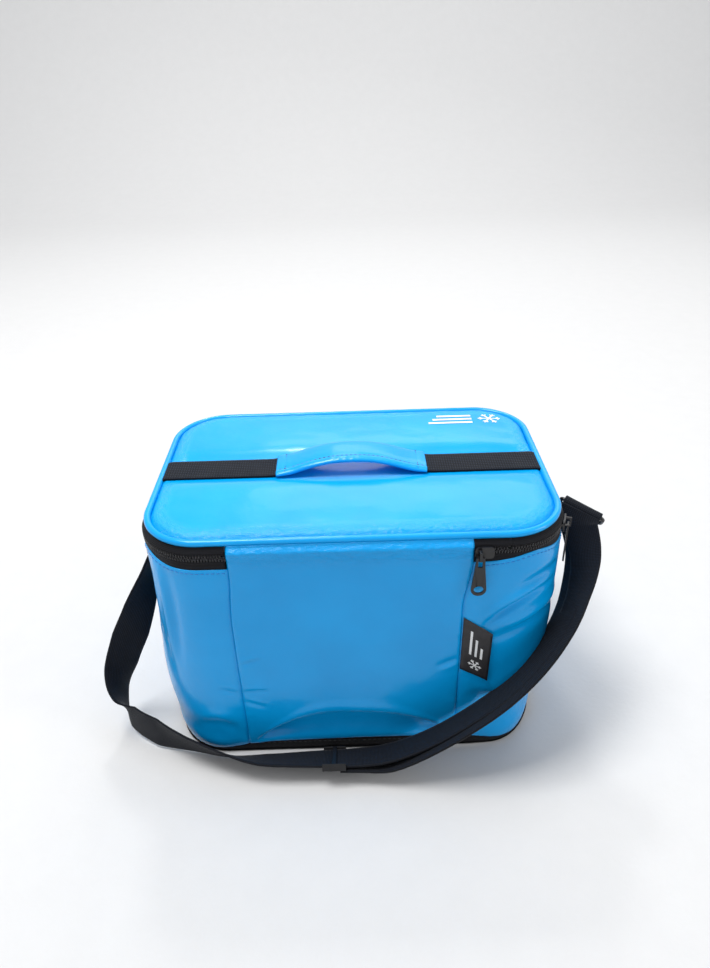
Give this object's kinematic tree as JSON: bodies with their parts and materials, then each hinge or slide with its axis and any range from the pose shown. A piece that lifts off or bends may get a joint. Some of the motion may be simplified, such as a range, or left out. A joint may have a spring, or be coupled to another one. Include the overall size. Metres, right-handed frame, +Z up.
{
  "type": "insulated cooler bag",
  "caption": "Soft rectangular insulated bag with rounded corners, a zipped lid with a sleeved handle, a fabric hinge and a webbing shoulder strap with a tri-glide.",
  "frame": {"origin": "middle of the base, on the surface the bag stands on", "axes": "+Z up, +X along the bag's length to the side where both zip sliders are parked, -Y towards the side with the fabric hinge"},
  "size_m": [0.3889, 0.2312, 0.2233],
  "materials": {
    "blue_pvc": "glossy PVC-coated fabric",
    "black_webbing": "woven polypropylene webbing",
    "black_tape": "woven zip tape and binding",
    "black_nylon": "moulded nylon coil",
    "black_metal": "black enamelled zinc",
    "wire_metal": "black-coated steel wire",
    "foam": "closed-cell polyethylene foam",
    "silver_liner": "heat-sealed silver lining",
    "black_board": "stiff polyethylene board",
    "black_base": "coated base fabric",
    "label": "woven satin label"
  },
  "bodies": {
    "bag": {"back_foam": "foam", "base_binding": "black_tape", "base_board": "black_board", "base_foam": "foam", "base_panel": "black_base", "body_zip_coil": "black_nylon", "body_zip_tape": "black_tape", "front_foam": "foam", "hinge_panel": "blue_pvc", "inner_liner": "silver_liner", "left_foam": "foam", "left_ring": "wire_metal", "left_tab": "black_webbing", "right_foam": "foam", "right_ring": "wire_metal", "right_tab": "black_webbing", "side_label": "label", "strap_end_loop": "black_webbing", "strap_flat": "black_webbing", "strap_fold": "black_webbing", "strap_left": "black_webbing", "strap_right": "black_webbing", "strap_tail": "black_webbing", "wrap_panel": "blue_pvc", "zip_end_stops": "black_metal", "zip_end_tape": "black_tape"},
    "lid": {"lid_panel": "blue_pvc", "lid_foam": "foam", "lid_liner": "silver_liner", "lid_piping": "blue_pvc", "lid_zip_tape": "black_tape", "lid_zip_coil": "black_nylon", "handle_webbing": "black_webbing", "handle_sleeve": "blue_pvc"},
    "slider_a": {"hinge_side_slider": "black_metal"},
    "puller_a": {"hinge_side_puller": "black_metal"},
    "slider_b": {"corner_slider": "black_metal"},
    "puller_b": {"corner_puller": "black_metal"},
    "adjuster": {"strap_adjuster": "black_nylon", "strap_tail_end": "black_webbing"}
  },
  "joints": [
    {"name": "lid_hinge", "type": "hinge", "parent": "bag", "child": "lid", "pos_m": [0, -0.098, 0.202], "axis": [1, 0, 0], "range_deg": [0, 110]},
    {"name": "hinge_side_slider_travel", "type": "slide", "parent": "bag", "child": "slider_a", "axis": [1, 0, 0], "range_m": [0, 0.011]},
    {"name": "hinge_side_puller_swing", "type": "hinge", "parent": "slider_a", "child": "puller_a", "pos_m": [0.085, -0.1026, 0.1937], "axis": [-1, 0, 0], "range_deg": [0, 95]},
    {"name": "corner_slider_travel", "type": "hinge", "parent": "bag", "child": "slider_b", "pos_m": [0.105, -0.053, 0.1972], "axis": [0, 0, -1], "range_deg": [0, 52]},
    {"name": "corner_puller_swing", "type": "hinge", "parent": "slider_b", "child": "puller_b", "pos_m": [0.1531, -0.06547, 0.1937], "axis": [-0.309, -0.9511, 0], "range_deg": [0, 95]},
    {"name": "adjuster_slide", "type": "slide", "parent": "bag", "child": "adjuster", "axis": [1, 0, 0], "range_m": [-0.009, 0.009]}
  ]
}
